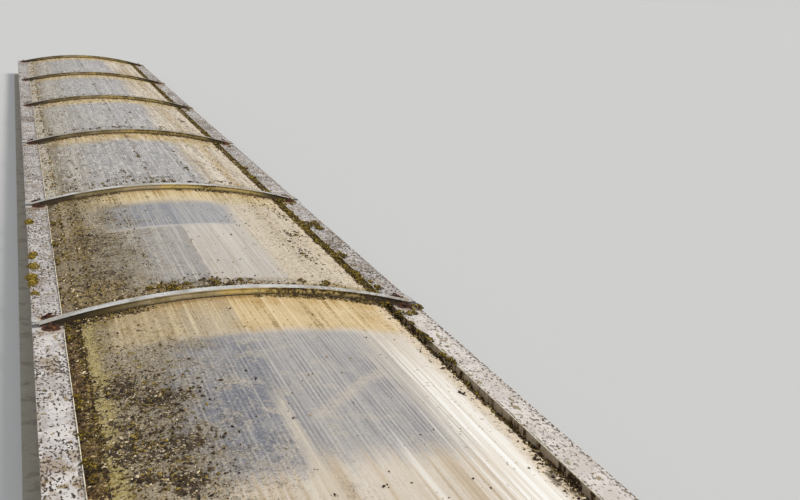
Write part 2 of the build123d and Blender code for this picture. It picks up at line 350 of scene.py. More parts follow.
def hollow_sheet(name, half, y0, y1, finish):
    """Bent sheet with hollow cells.

    A point is (r sin a, y, c + r cos a). Angle a takes both faces of each web in turn, r the two
    faces of the lower and the upper skin, and y the two ends, so cells stay open at the ends.
    """
    outer, inner = SHEET_RADIUS, SHEET_RADIUS - SHEET_THICKNESS
    reach = np.arcsin(half / outer)
    web = SKIN / outer
    starts = np.linspace(-reach, reach - web, CELLS + 1)
    angles = np.stack([starts, starts + web], axis=1).ravel()
    radii = np.array([inner, inner + SKIN, outer - SKIN, outer])
    ys, a, r = np.meshgrid([y0, y1], angles, radii, indexing="ij")
    x, z = on_vault(a, r)
    points = np.stack([x, ys, z], axis=-1).reshape(-1, 3)
    number = np.arange(points.shape[0]).reshape(2, len(angles), 4)
    near, far = number

    def strip(layer, across):
        """Quads along the sheet over some of the angle steps, at one radius, facing up."""
        return np.stack([near[across, layer], near[across + 1, layer],
                         far[across + 1, layer], far[across, layer]], axis=1)

    def wall(across, layer):
        """Quads along the sheet at some angles, between two radii, facing to the right."""
        return np.stack([near[across, layer], far[across, layer],
                         far[across, layer + 1], near[across, layer + 1]], axis=1)

    def end(rows, across, layer):
        """Quads over an end of the sheet, facing along +Y."""
        return np.stack([rows[across, layer], rows[across, layer + 1],
                         rows[across + 1, layer + 1], rows[across + 1, layer]], axis=1)

    webs = np.arange(0, len(angles) - 1, 2)
    hollows = np.arange(1, len(angles) - 2, 2)
    every = np.arange(len(angles) - 1)
    far_end = [end(far, webs, k) for k in (0, 1, 2)] + [end(far, hollows, k) for k in (0, 2)]
    near_end = [end(near, webs, k)[:, ::-1] for k in (0, 1, 2)]
    near_end += [end(near, hollows, k)[:, ::-1] for k in (0, 2)]
    last = np.array([len(angles) - 1])
    sides = [wall(last, k) for k in (0, 1, 2)] + [wall(last * 0, k)[:, ::-1] for k in (0, 1, 2)]
    cells = [strip(1, hollows), strip(2, hollows)[:, ::-1]]
    cells += [wall(hollows, 1), wall(hollows + 1, 1)[:, ::-1]]
    skins = [strip(3, every), strip(0, every)[:, ::-1]]
    faces = np.concatenate([*skins, *cells, *sides, *far_end, *near_end])
    return new_piece(name, points, faces, finish)


aged_sheet = Finish("aged_hollow_sheet", Coat_Roughness=0.25, Coat_IOR=1.5)
x = aged_sheet.x
y = aged_sheet.y
to_far = BAY - ((y + LAST_BAR) / BAY).math("FRACT") * BAY
from_near = BAY - to_far
front_bay = y.fall(-4.21, -4.19)
second_bay = y.fall(-2.11, -2.09) - front_bay
rear_bays = y.rise(-2.11, -2.09)

broad = aged_sheet.noise(2.2, 3)
blotch = aged_sheet.noise(9, 4, 6)
clump = aged_sheet.noise((30, 24, 1), 5, 3)
grit = aged_sheet.noise((85, 62, 1), 3, 5)
crumb = aged_sheet.noise((170, 120, 1), 2, 7)
wide_streak = aged_sheet.noise((12, 0.5, 1), 2, 2)
streak = aged_sheet.noise((84, 1.1, 1), 3, 4)
soft_cloud = aged_sheet.noise((6, 4, 1), 2, 8)
scratch = aged_sheet.noise((70, 190, 1), 2, 9)
rain_speck = aged_sheet.noise((42, 11, 1), 3, 11)
warped_x = x + 0.10 * blotch
warped_y = y + 0.14 * blotch

along_arc = (x / SHEET_RADIUS).math("ARCSINE") * SHEET_RADIUS
cell_place = along_arc / CELL_PITCH + 0.5 * CELLS
cell_number = cell_place.math("FLOOR")
cell_side = cell_place.math("FRACT")
line_spot = aged_sheet.node("ShaderNodeCombineXYZ", {}, cell_number * 5.3, y * 2.2, 0.0).outputs[0]
line_light = aged_sheet.amount("ShaderNodeTexNoise", {}, line_spot, None, 1.0, 3.0) - 0.5
# The webs show as pale lines with dark lines beside them: painted highlight on the webs and painted
# shade in the cells, seen through the skin, with grime along them.
web_line = cell_side.rise(0.30, 0.62) * cell_side.fall(0.70, 1.0)
pale_line = web_line * (line_light + 0.3 * grit + 0.3 * blotch).rise(-0.12, 0.14)
dark_line = (line_light - 0.4 * streak - 0.2 * grit).rise(-0.10, 0.06)
dark_line = dark_line * cell_side.within(0.06, 0.26, 0.08)


def spots(*places):
    """Soft ragged patches of the sheets, each its middle, its reach along X and Y and its strength.

    The strength falls to 0 between 0.15 and 1.0 of the square of the distance over the reach.
    """
    cover = 0.0
    for middle_x, middle_y, reach_x, reach_y, strength in places:
        out_x = (warped_x - middle_x) / reach_x
        out_y = (warped_y - middle_y) / reach_y
        cover = (out_x * out_x + out_y * out_y).fall(0.15, 1.0) * strength | cover
    return cover


left_piece = x.fall(-0.060, -0.052)
tan_end = front_bay * y.fall(-5.9, -5.6) * (streak + 0.8 * wide_streak).fall(-0.14, 0.06)
# Clean parts of the sheets. The blue-grey painted on them is painted shade: the dark inside seen
# through the clear sheet.
clear_front = front_bay * warped_x.rise(-0.58, -0.42) * (x + 0.25 * streak).fall(0.30, 0.54)
clear_front = clear_front * (y + 0.34 * streak + 0.1 * blotch).rise(-5.84, -5.62)
clear_front = clear_front * (y + 0.05 * blotch).fall(-4.73, -4.62)
deep_blue = spots((-0.23, -5.38, 0.17, 0.34, 0.7), (-0.15, -4.88, 0.14, 0.20, 0.35))
corner_x = (warped_x + 0.10) / 0.36
corner_y = (to_far + 0.10 * blotch - 0.60) / 0.29
corner_x = corner_x * corner_x
corner_y = corner_y * corner_y
round_patch = (corner_x * corner_x + corner_y * corner_y).fall(0.5, 1.6)
clear_second = second_bay * round_patch
clear_rear = rear_bays * (warped_x + 0.2 * wide_streak).within(-0.46, 0.30, 0.07)
clear = clear_front | clear_second | clear_rear
pale_side = second_bay * x.within(0.25, 0.40, 0.03) * to_far.within(0.36, 0.90, 0.05)
lower_second = second_bay * (to_far + 0.04 * blotch).rise(0.90, 0.93)
glare_start = x - 0.10 * ((y + 5.9) / 1.4) + 0.22 * streak + 0.10 * wide_streak
glare = front_bay * glare_start.rise(0.32, 0.54) * (x + 0.10 * streak).fall(0.57, 0.63)
glare = glare * (y + 0.6 * streak).fall(-5.30, -4.50)
white_runs = abs(x - 0.20 - 0.03 * broad + 0.04 * streak).fall(0.000, 0.020)
white_runs = white_runs * (y + 0.5 * streak).fall(-5.85, -5.50)
thin_run = abs(x - 0.262 - 0.02 * blotch).fall(0.001, 0.006)
white_runs = white_runs | (thin_run * lower_second * (0.5 + 2 * grit))
white_runs = white_runs | (rear_bays * x.rise(0.30, 0.42) * streak.rise(0.04, 0.14) * 0.6)
cream_run = abs(x + 0.088 + 0.06 * streak).fall(0.006, 0.036) * front_bay
cream_run = cream_run * (y + 0.4 * blotch).fall(-5.40, -5.10)
scuff = abs(y + 5.45 - x + 0.08 * blotch).fall(0.006, 0.070) * front_bay * x.rise(-0.06, 0.02)
scuff = scuff * x.fall(0.30, 0.46) * (0.7 + 2.4 * clump + 2.0 * grit)
ledge = abs(to_far - 0.885 + 0.03 * blotch).fall(0.006, 0.026)
ledge = ledge * second_bay * x.within(-0.40, 0.26, 0.03)
algae = to_far - 0.30 - 0.14 * front_bay - 0.3 * broad * rear_bays + 0.08 * blotch + 0.10 * streak
algae = (algae * (0.45 + 0.55 * front_bay)).fall(-0.06, 0.06)
thick_algae = (to_far + 0.35 * soft_cloud + 0.3 * blotch + 0.15 * streak).fall(-0.02, 0.28)
# The right flank of the rear bays, painted pale cream as a highlight of the sun on it, with streaks;
# it gathers dirt too.
glare_and_grime_flank = (1 - front_bay) * (warped_x + 0.3 * wide_streak).rise(0.20, 0.36)
rust_run = rear_bays * (x + 0.06 * streak).within(0.46, 0.52, 0.02)
rust_run = rust_run * (0.6 + 3.0 * streak + 2.0 * broad)

dense = spots(
    (-0.57, -4.98, 0.10, 0.14, 1.0), (-0.45, -5.12, 0.16, 0.07, 1.0), (-0.60, -5.40, 0.10, 0.14, 1.0),
    (-0.43, -5.48, 0.12, 0.09, 1.0), (-0.45, -5.70, 0.08, 0.10, 1.0), (-0.57, -5.62, 0.06, 0.07, 1.0),
    (-0.55, -3.10, 0.16, 0.30, 0.7), (-0.42, -3.35, 0.14, 0.28, 0.5), (-0.24, -3.98, 0.12, 0.08, 1.0),
    (-0.09, -4.02, 0.07, 0.12, 1.0), (0.05, -4.03, 0.08, 0.06, 0.8), (-0.52, -3.80, 0.20, 0.35, 0.6),
    (0.66, -5.92, 0.06, 0.16, 1.0), (-0.50, -5.30, 0.20, 0.50, 0.5),
)
left_dirt = (-1 * x + 0.5 * broad + 0.6 * blotch + 0.10 * front_bay).rise(0.24, 0.56)
left_dirt = left_dirt * (1 - 0.65 * algae * front_bay * (x + 0.1 * blotch).rise(-0.60, -0.52))
left_dirt = left_dirt * (1 - 0.75 * rear_bays * (x + 0.1 * blotch).rise(-0.66, -0.58))
edge_strip = (x + 0.08 * blotch).fall(-0.622, -0.580) * (y + 0.3 * blotch).fall(-4.3, -3.6)
dark_band = (x + 0.04 * blotch + 0.02 * rear_bays).within(-0.61, -0.550, 0.020)
dark_band = dark_band * (0.50 + 1.6 * broad + 0.5 * second_bay + 0.4 * rear_bays)
dark_band = dark_band * (1 - 0.7 * y.rise(-0.3, 0.1))
dark_band = (dark_band * (1 + 3.0 * clump)).math("MINIMUM", 1.0)
olive_patch = spots((-0.27, -4.02, 0.12, 0.10, 1.0), (-0.55, -3.90, 0.12, 0.16, 0.8),
                    (0.48, -4.06, 0.30, 0.07, 0.6), (-0.60, -3.00, 0.08, 0.50, 0.5))
# The right edge of the sheets: painted pale cream as a highlight of the sun on that side, and dirtier.
right_glare_and_dirt = (x + 0.10 * blotch).rise(0.57, 0.64)
bar_litter = (from_near + 0.25 * blotch).fall(0.10, 0.24) * (1 - front_bay)
beyond_middle = warped_x.fall(-0.50, -0.40) | warped_x.rise(0.15, 0.25)
bar_litter = bar_litter | ((to_far + 0.12 * blotch).fall(0.03, 0.07) * beyond_middle)
dirty = (left_dirt | (right_glare_and_dirt * 0.45) | bar_litter | (glare_and_grime_flank * 0.5)) + 0.4 * dense
dirty = dirty.math("MINIMUM", 1.2)
seam = abs(x + 0.061 + 0.02 * broad).fall(0.003, 0.013)
thin_seam = abs(x - 0.22 + 0.02 * broad).fall(0.001, 0.008)
sand = crumb + 0.4 * grit
speckles = grit + 0.5 * crumb + 0.3 * clump
runs = wide_streak + 0.5 * streak
covered = (algae | dirty).math("MINIMUM", 1.0)
dusty = (-1 * x + 0.9 * blotch + 0.3 * clump).rise(-0.05, 0.35) * 0.6 + 0.10

aged_sheet.feed(
    (214, 199, 178),
    (second_bay, 198, 188, 175),
    (rear_bays, 182, 175, 165),
    (wide_streak.rise(0.0, 0.16) * 0.45, 226, 215, 199),
    (tan_end * 0.5, 202, 174, 134),
    # Painted shade of the dark inside, seen through the clean sheet.
    (clear_rear * 0.60, 157, 158, 166),
    (rear_bays * (streak + 0.6 * wide_streak).fall(-0.16, -0.02) * 0.5, 126, 122, 116),
    (rear_bays * streak.rise(0.02, 0.12) * 0.5, 212, 205, 195),
    (lower_second * (warped_x + 0.04 * streak).fall(-0.07, -0.05) * 0.85, 143, 138, 134),
    (lower_second * warped_x.fall(-0.34, -0.25) * 0.7, 140, 128, 104),
    # Painted shade of the dark inside, seen through the clean sheet.
    (clear_second * 0.85, 140, 141, 148),
    (clear_second * left_piece * 0.6, 120, 124, 136),
    (pale_side * 0.5, 204, 199, 195),
    # Painted shade of the dark inside, seen through the clean sheet.
    (clear_front * 0.92, 160, 157, 157),
    (clear_front * left_piece * 0.85, 120, 120, 127),
    (clear_front * deep_blue, 98, 103, 119),
    (clear * streak.fall(-0.14, -0.04) * 0.40, 106, 106, 114),
    (clear * streak.rise(0.04, 0.14) * 0.32, 196, 190, 180),
    # Web lines: painted shade beside the webs and painted highlight on them.
    (dark_line * (0.06 + 0.52 * clear), 88, 87, 96),
    (pale_line * (0.18 + 0.22 * clear), 218, 209, 196),
    ((1 - clear) * streak.rise(0.04, 0.16) * 0.40, 232, 223, 208),
    ((1 - clear) * (streak + 0.4 * wide_streak).fall(-0.16, -0.04) * 0.40, 170, 150, 122),
    (clear_front * (soft_cloud + 0.5 * wide_streak).rise(-0.02, 0.14) * 0.35, 186, 180, 172),
    (clear_front * (blotch + 0.4 * clump).rise(0.04, 0.14) * 0.35, 192, 182, 166),
    (clump.rise(-0.02, 0.16) * dusty * 0.6, 178, 164, 142),
    (clump.fall(-0.14, -0.02) * dusty * 0.6, 100, 92, 86),
    (sand.rise(0.09, 0.16) * dusty * 0.8, 216, 204, 180),
    (sand.fall(-0.14, -0.08) * dusty * 0.9, 80, 72, 66),
    (clear_front * left_piece * scratch.rise(0.10, 0.16) * 0.6, 206, 196, 182),
    (clear_front * scratch.fall(-0.16, -0.11) * 0.5, 84, 82, 88),
    (scuff * 0.6, 204, 190, 171),
    (cream_run * 0.7, 218, 205, 185),
    (ledge * 0.6, 198, 192, 184),
    (glare * 0.95, 250, 243, 231),
    (glare * streak.rise(0.02, 0.10) * 0.9, 255, 253, 248),
    (glare * streak.fall(-0.14, -0.02) * 0.45, 216, 202, 184),
    (white_runs * 0.55, 250, 246, 238),
    # Painted highlight on the right flank, with light and dark streaks.
    (glare_and_grime_flank * 0.7, 212, 194, 164),
    (glare_and_grime_flank * streak.rise(0.03, 0.12) * 0.5, 234, 223, 200),
    (glare_and_grime_flank * (streak + wide_streak).fall(-0.20, -0.06) * 0.4, 176, 150, 112),
    (glare_and_grime_flank * rear_bays * runs.rise(0.02, 0.10) * 0.7, 236, 222, 202),
    (glare_and_grime_flank * rear_bays * runs.fall(-0.12, -0.02) * 0.6, 178, 148, 104),
    (rust_run * 0.5, 206, 168, 98),
    (algae * 0.86, 196, 176, 140),
    (algae * (x + (1 - front_bay) * 3.0).rise(-0.058, -0.052) * 0.70, 220, 192, 142),
    (algae * second_bay * 0.6, 206, 192, 156),
    (algae * rear_bays * 0.6, 192, 170, 116),
    (algae * x.within(-0.27, -0.06, 0.01) * front_bay * 0.6, 178, 164, 140),
    (algae * thick_algae * 0.7, 184, 146, 74),
    (algae * (soft_cloud + 0.5 * streak).rise(-0.02, 0.16) * 0.45, 182, 148, 88),
    (algae * (streak + 0.4 * crumb).rise(0.0, 0.12) * 0.50, 240, 223, 184),
    (algae * (0.7 * grit + 0.5 * blotch + streak).fall(-0.20, -0.08) * 0.70, 142, 116, 68),
    ((to_far + 0.10 * blotch + 0.05 * clump).fall(0.03, 0.09) * 0.5, 128, 98, 48),
    (left_dirt * 0.62, 146, 130, 98),
    (left_dirt * dense * 0.55, 104, 86, 54),
    (edge_strip * 0.85, 178, 160, 98),
    (dark_band * 0.7, 104, 86, 50),
    # Painted highlight along the right edge.
    (right_glare_and_dirt * 0.65, 234, 214, 184),
    (bar_litter * 0.60, 150, 122, 70),
    (olive_patch * (clump + 0.6 * grit).rise(-0.20, 0.02) * 0.9, 164, 132, 58),
    (rear_bays * rain_speck.rise(0.08, 0.15) * 0.70, 106, 90, 68),
    (rear_bays * rain_speck.fall(-0.15, -0.08) * 0.65, 222, 215, 204),
    (rear_bays * seam * (0.6 + 2.5 * rain_speck), 114, 88, 58),
    (rear_bays * thin_seam * blotch.rise(-0.05, 0.05) * 0.5, 104, 82, 56),
    (dirty * (grit + 0.4 * clump).rise(0.03, 0.09) * 0.55, 108, 90, 52),
    (dirty * (clump + 0.20 * dense + 0.4 * grit).rise(0.11, 0.18) * 0.88, 62, 46, 26),
    (dirty * (clump + 0.3 * crumb).fall(-0.17, -0.11) * 0.7, 92, 76, 40),
    (left_dirt * (clump - 0.5 * blotch - 0.3 * grit).rise(0.11, 0.18) * 0.8, 140, 118, 46),
    (rear_bays * speckles.fall(-0.17, -0.10) * 0.6, 92, 78, 60),
    (rear_bays * speckles.rise(0.10, 0.17) * 0.6, 218, 208, 190),
    (dirty * sand.rise(0.13, 0.18) * 0.8, 222, 206, 176),
    (dirty * (crumb + 0.3 * clump).fall(-0.16, -0.11) * 0.9, 44, 33, 20),
    (aged_sheet.to_sky.fall(-0.6, -0.2) * 0.6, 176, 174, 164),
    bump=0.3 * pale_line + grit * (0.25 + dirty) + clump * dirty + 0.3 * crumb,
    depth=0.0025,
    Roughness=0.40 + 0.40 * covered,
    Coat_Weight=0.20 * (1 - covered),
)

for number in range(1, BAYS + 1):
    node_name = f"glazing_sheet_{number}"
    low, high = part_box(node_name)
    sheet = hollow_sheet(f"hollow_sheet_{number}", high[0], low[1], high[1], aged_sheet)
    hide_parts(node_name)

# Sheet end closers. Aluminium strips over the open cells of the outermost sheets, snapped over
# the edge and bent to the vault.

closer_metal = Finish("weathered_closer_aluminium", Metallic=0.3)
weather = closer_metal.cloud(24, 4)
closer_metal.feed(
    (176, 176, 174),
    (weather.rise(0.48, 0.66), 132, 124, 106),
    bump=weather,
    depth=0.0006,
    Roughness=0.45 + 0.3 * weather,
)
dress("sheet_end_closers", closer_metal)

# Gable panels. Milky glass-fibre sheet that stands on the end rails under the outermost sheets
# and closes the vault, streaked by rain from the top and green along its foot.

gable_plastic = Finish("streaked_gable_panel", Metallic=0.0, Coat_Weight=0.15, Coat_Roughness=0.3)
fibre = gable_plastic.cloud((90, 20, 40), 3)
rain = gable_plastic.cloud((24, 4, 2), 3, 3)
foot_green = (gable_plastic.z + 0.04 * (rain - 0.5)).fall(0.196, 0.222)
gable_plastic.feed(
    (196, 194, 182),
    (fibre.rise(0.45, 0.62) * 0.5, 214, 212, 202),
    (rain.rise(0.50, 0.68) * 0.6, 150, 138, 108),
    (foot_green * 0.8, 96, 92, 50),
    bump=fibre,
    depth=0.0006,
    Roughness=0.4 + 0.4 * foot_green,
)
dress("gable_panel_", gable_plastic)

# Cap gaskets. Flat strips of the same black rubber, pressed by the cap bars against the joints of
# the sheets. Only their dusty edges show.

dress("cap_gaskets", gasket_rubber)

# Arched cap bars. Aluminium box bars with an overhanging flange, rolled to the vault and clamped
# over the joints of the sheets. The flange stays pale where rain washes it, and the sides turn
# from grey on the left to golden algae at the crown and black moss on the right, and darken with
# painted shade towards both feet.

CAP_UNDERSIDE = 2.9471
CAP_DEPTH = 0.030

cap_metal = Finish("mossy_cap_aluminium", Metallic=0.0)
x = cap_metal.x
tone = cap_metal.noise(9, 4)
fuzz = cap_metal.noise(70, 3, 6)
pits = cap_metal.flecks(150, 0.42, 0.30)
drift = x + 0.4 * cap_metal.noise(3, 2, 5)
flange = cap_metal.to_sky.rise(0.5, 0.8)
side = 1 - flange
over_centre = cap_metal.z - VAULT_Z
height = ((x * x + over_centre * over_centre).math("SQRT") - CAP_UNDERSIDE) / CAP_DEPTH
gold = drift.rise(-0.14, -0.02) * side
moss = (drift + 0.4 * tone + 0.6 * fuzz).rise(0.06, 0.36) * side
shade_line = (height + 0.5 * tone).rise(0.55, 0.80) * side * height.fall(0.88, 0.90)
base_dirt = (height + 0.8 * tone + 0.4 * fuzz).fall(0.05, 0.30) * side
front_bar = cap_metal.y.fall(-3.2, -3.1)
rear_bars = cap_metal.y.rise(-1.1, -1.0)
left_green = drift.within(-0.62, -0.22, 0.10) * side * (tone - 0.4 * fuzz).rise(-0.03, 0.09)
cap_metal.feed(
    (176, 162, 128),
    (side * tone.rise(-0.04, 0.10) * 0.6, 146, 128, 84),
    (gold * 0.9, 206, 182, 112),
    (gold * (tone + 0.3 * fuzz).rise(-0.02, 0.10) * 0.7, 164, 138, 68),
    (moss * (0.25 + 0.55 * front_bar), 122, 98, 44),
    (moss * (0.4 * tone + fuzz + 0.10 * front_bar - 0.04).rise(0.00, 0.12) * 0.9, 54, 40, 22),
    (gold * (0.4 * tone + fuzz).fall(-0.16, -0.04) * 0.5, 222, 200, 140),
    (left_green * 0.6, 122, 108, 62),
    (rear_bars * side * (0.45 + 2.0 * fuzz + 1.5 * tone), 100, 84, 50),
    # The sides darken on the left and to near black towards both feet: dirt from the litter heaped
    # there, with painted shade.
    ((x + 0.6 * tone).fall(-0.52, -0.36) * side * (0.4 + 0.5 * front_bar), 104, 86, 50),
    ((abs(x) + 0.2 * tone).rise(0.50, 0.66) * side * 0.9, 50, 41, 29),
    (base_dirt * 0.7, 84, 66, 38),
    (shade_line * (0.30 + 0.4 * moss), 66, 55, 32),
    (flange, 196, 194, 190),
    (flange * tone.rise(-0.02, 0.10) * 0.8, 216, 214, 210),
    (flange * tone.fall(-0.10, -0.03) * 0.7, 158, 150, 134),
    (flange * rear_bars * (0.55 + 2.0 * tone), 122, 110, 86),
    (flange * pits * 0.7, 96, 88, 72),
    (flange * (abs(x) + 0.1 * tone).rise(0.68, 0.73) * 0.5, 146, 134, 118),
    (flange * x.rise(0.1, 0.5) * (fuzz + 0.5 * tone).rise(0.02, 0.08) * 0.8, 110, 92, 58),
    bump=tone * 0.8 + pits * 0.5 + (0.3 + moss) * fuzz,
    depth=0.0020,
    Roughness=0.45 + 0.40 * (side * (gold | moss)),
)
dress("arch_cap_", cap_metal)

# Foot plates. Folded aluminium plates over the joints of the rails, bolted down through the rail
# tops on the ends of the cap bars. Rust from the bolts has run over them, and lichen has spread.

BOLT_X = 0.768
BOLT_Y = 0.062

foot_metal = Finish("rust_stained_foot_plate", Metallic=0.1)
speck = foot_metal.noise(22, 4)
fine_speck = foot_metal.noise((80, 50, 80), 3, 4)
from_station = foot_metal.y - (foot_metal.y / BAY).math("ROUND") * BAY
bolt_dx = abs(foot_metal.x) - BOLT_X
bolt_dy = abs(from_station) - BOLT_Y
bolt_away = (bolt_dx * bolt_dx + bolt_dy * bolt_dy).math("SQRT") + 0.05 * speck
foot_metal.feed(
    (186, 183, 182),
    (speck.rise(-0.03, 0.10), 210, 208, 206),
    (speck.fall(-0.12, -0.05) * 0.8, 146, 138, 124),
    (foot_metal.cloud(13, 3, 7).rise(0.58, 0.66) * 0.8, 160, 134, 66),
    (bolt_away.fall(0.045, 0.075) * 0.5, 196, 170, 138),
    (fine_speck.rise(0.08, 0.12) * 0.85, 88, 74, 54),
    (bolt_away.fall(0.026, 0.046) * 0.9, 122, 76, 50),
    (abs(from_station).fall(0.020, 0.034) * (fine_speck + speck).rise(-0.05, 0.05) * 0.8, 84, 66, 42),
    # A dark band just in front of each cap bar's end: painted shadow under the end, with dirt in the
    # joint.
    ((from_station + 0.02 * speck).within(-0.042, 0.002, 0.006) * 0.9, 44, 35, 26),
    bump=speck + fine_speck,
    depth=0.0016,
    Roughness=0.45 + 0.4 * bolt_away.fall(0.03, 0.05),
)
dress("foot_plates_", foot_metal)

# Washer plates and foot bolts. Plain steel, square-holed washers under hex heads with nuts below
# the rail tops. All have rusted to thick brown flakes.

rusty_steel = Finish("flaking_rust", Metallic=0.0)
flake = rusty_steel.cloud(90, 4)
lump = rusty_steel.cloud(34, 2, 4)
rusty_steel.feed(
    (66, 42, 31),
    (flake.rise(0.46, 0.62), 112, 64, 40),
    (lump.rise(0.56, 0.70) * 0.8, 158, 108, 66),
    (flake.fall(0.36, 0.44), 36, 25, 21),
    bump=flake + lump,
    depth=0.003,
    Roughness=0.75 + 0.2 * flake,
)
dress("washer_plates", rusty_steel)
dress("foot_bolts", rusty_steel)

# Silt in the troughs. Dust, dead moss and leaf crumbs that rain washed off the sheets and packed
# down to a brown bed, high against the edges of the sheets and lower along the lips.

EDGE_X, BED_X = 0.660, 0.719
EDGE_Y, BED_Y = 6.363, 6.415
SIDE_REACH, END_REACH = 6.410, 0.658
SILT_FOOT = 0.158
SCOURED_TO = -4.15


def waves(a, b, seed, pitch):
    """Seeded uneven ground from -1 to 1: 24 sine waves of about one pitch in length, added up."""
    dice = np.random.default_rng(seed)
    total = np.zeros(np.broadcast(a, b).shape)
    turns = dice.uniform(0, np.pi, 24)
    lengths = dice.uniform(0.4, 1.8, 24)
    starts = dice.uniform(0, 6.28, 24)
    for turn, length, start in zip(turns, lengths, starts):
        total += np.sin((a * np.cos(turn) + b * np.sin(turn)) * 6.28 / (pitch * length) + start)
    return np.clip(total / 6, -1, 1)


def packed_bed(name, lengthways, crossways, top, turned):
    """Closed bed of silt.

    A point of its top is (b, a, top(a, b)) with a along the trough and b across it, and (a, b, ...)
    in an end trough. Its underside is the same grid at one level.
    """
    a, b = np.meshgrid(lengthways, crossways, indexing="ij")
    z = top(a, b)
    plan = (a, b) if turned else (b, a)
    points = np.concatenate([np.stack([*plan, z], -1).reshape(-1, 3),
                             np.stack([*plan, np.full_like(z, SILT_FOOT)], -1).reshape(-1, 3)])
    grid = np.arange(a.size).reshape(a.shape)
    upper = np.stack([grid[:-1, :-1], grid[:-1, 1:], grid[1:, 1:], grid[1:, :-1]], -1).reshape(-1, 4)
    rim = np.concatenate([grid[:-1, 0], grid[-1, :-1], grid[:0:-1, -1], grid[0, :0:-1]])
    following = np.roll(rim, -1)
    wall = np.stack([rim, following, following + a.size, rim + a.size], -1)
    faces = np.concatenate([upper, upper[:, ::-1] + a.size, wall])
    if turned != (crossways[0] < 0):
        faces = faces[:, ::-1]
    new_piece(name, points, faces, silt)


silt = Finish("packed_silt", Roughness=0.95)
soft = silt.noise(24, 4)
coarse = silt.noise((150, 110, 150), 3, 3)
damp = silt.noise(4, 3, 7)
from_lip = BED_X - 0.0005 - abs(silt.x)
beyond_front = silt.y.rise(-4.3, -4.1)
left_rear = beyond_front * silt.x.fall(-0.1, 0.1)
left_far = left_rear * silt.y.rise(-2.3, -2.0)
silt.feed(
    (104, 78, 44),
    ((from_lip + 0.08 * soft).rise(0.024, 0.050) * 0.8, 156, 132, 76),
    (left_rear * 0.8, 160, 146, 122),
    (left_far * 0.95, 216, 207, 192),
    (soft.rise(0.00, 0.12) * (0.85 - 0.5 * left_rear - 0.1 * left_far), 84, 60, 32),
    ((damp + 0.2 * beyond_front - 0.3 * left_rear).rise(0.04, 0.14) * 0.7, 108, 92, 36),
    (coarse.rise(0.03, 0.09) * 0.85, 50, 35, 20),
    (coarse.fall(-0.15, -0.09) * 0.85, 204, 178, 128),
    bump=soft + coarse,
    depth=0.004,
)


def side_top(a, b):
    """Height of a side bed, high along the sheet, low along the lip and where rain scours it."""
    share = np.clip((BED_X - abs(b)) / (BED_X - EDGE_X), 0, 1)
    scoured = np.clip((SCOURED_TO - a) / 0.15, 0, 1) * (b > 0)
    full = 0.189 + 0.0215 * share + 0.0045 * waves(a, b, 3, 0.05) + 0.004 * waves(a, b, 4, 0.4)
    under_bars = VAULT_Z + np.sqrt((CAP_UNDERSIDE - 0.0005) ** 2 - b * b)
    return np.minimum(full - scoured * (0.021 + 0.012 * share), under_bars)


def end_top(a, b):
    """Height of the shallow bed in an end trough."""
    return 0.170 + 0.004 * waves(a, b, 5, 0.06)


along_side = np.linspace(-SIDE_REACH, SIDE_REACH, 1000)
for side_name, sign in (("right", 1), ("left", -1)):
    packed_bed(f"silt_{side_name}", along_side, np.linspace(EDGE_X, BED_X, 9) * sign, side_top, False)
along_end = np.linspace(-END_REACH, END_REACH, 120)
for end_name, sign in (("far", 1), ("near", -1)):
    packed_bed(f"silt_{end_name}_end", along_end, np.linspace(EDGE_Y, BED_Y, 8) * sign, end_top, True)

# Litter. Crumbs of dead moss, bark and grit that wind and rain have left on the silt, along the
# edges of the sheets and against the cap bars. They lie loose, thickest where it stays damp.

OCTAHEDRON = np.array([(1, 0, 0), (0, 1, 0), (-1, 0, 0), (0, -1, 0), (0, 0, 1), (0, 0, -1)], float)
OCTAHEDRON_FACES = np.array([(0, 1, 4), (1, 2, 4), (2, 3, 4), (3, 0, 4),
                             (1, 0, 5), (2, 1, 5), (3, 2, 5), (0, 3, 5)])


def crumbs(name, places, sizes, shades, flatness, finish, seed, length=1.0):
    """Crumbs in one mesh: uneven octahedra, turned and stretched by chance.

    A corner is place + size * (turned (stretch * corner * chance)), and length stretches all the
    crumbs further. The shade of each crumb is kept on its corners as the attribute shade.
    """
    dice = np.random.default_rng(seed)
    count = len(places)
    corners = OCTAHEDRON[None] * dice.uniform(0.65, 1.3, (count, 6, 1))
    long = length * dice.uniform(0.7, 1.6, count)
    wide = dice.uniform(0.5, 1.0, count)
    high = flatness * dice.uniform(0.7, 1.3, count)
    corners = corners * np.stack([long, wide, high], -1)[:, None]
    turn = dice.uniform(0, 2 * np.pi, count)[:, None]
    tilt = dice.normal(0, 0.35 / length, count)[:, None]
    px, py, pz = corners[..., 0], corners[..., 1], corners[..., 2]
    px, pz = px * np.cos(tilt) - pz * np.sin(tilt), px * np.sin(tilt) + pz * np.cos(tilt)
    px, py = px * np.cos(turn) - py * np.sin(turn), px * np.sin(turn) + py * np.cos(turn)
    points = (places[:, None] + sizes[:, None, None] * np.stack([px, py, pz], -1)).reshape(-1, 3)
    faces = (OCTAHEDRON_FACES[None] + 6 * np.arange(count)[:, None, None]).reshape(-1, 3)
    piece = new_piece(name, points, faces, finish)
    shade = piece.data.attributes.new("shade", "FLOAT", "POINT")
    shade.data.foreach_set("value", np.repeat(shades, 6))


def places_at(x, y, z):
    """Places from their X, Y and Z, each an array or one number for all."""
    return np.stack(np.broadcast_arrays(x, y, z), -1)


def on_sheet(x, y, lift=0.0):
    """Places on the outer face of the sheets."""
    return places_at(x, y, VAULT_Z + np.sqrt(SHEET_RADIUS ** 2 - x * x) + lift)


def on_silt(x, y, lift=0.0):
    """Places on the side beds, and on the sheets beside them."""
    sheet_top = VAULT_Z + np.sqrt(SHEET_RADIUS ** 2 - x * x)
    return places_at(x, y, np.where(abs(x) < EDGE_X, sheet_top, side_top(y, x)) + lift)


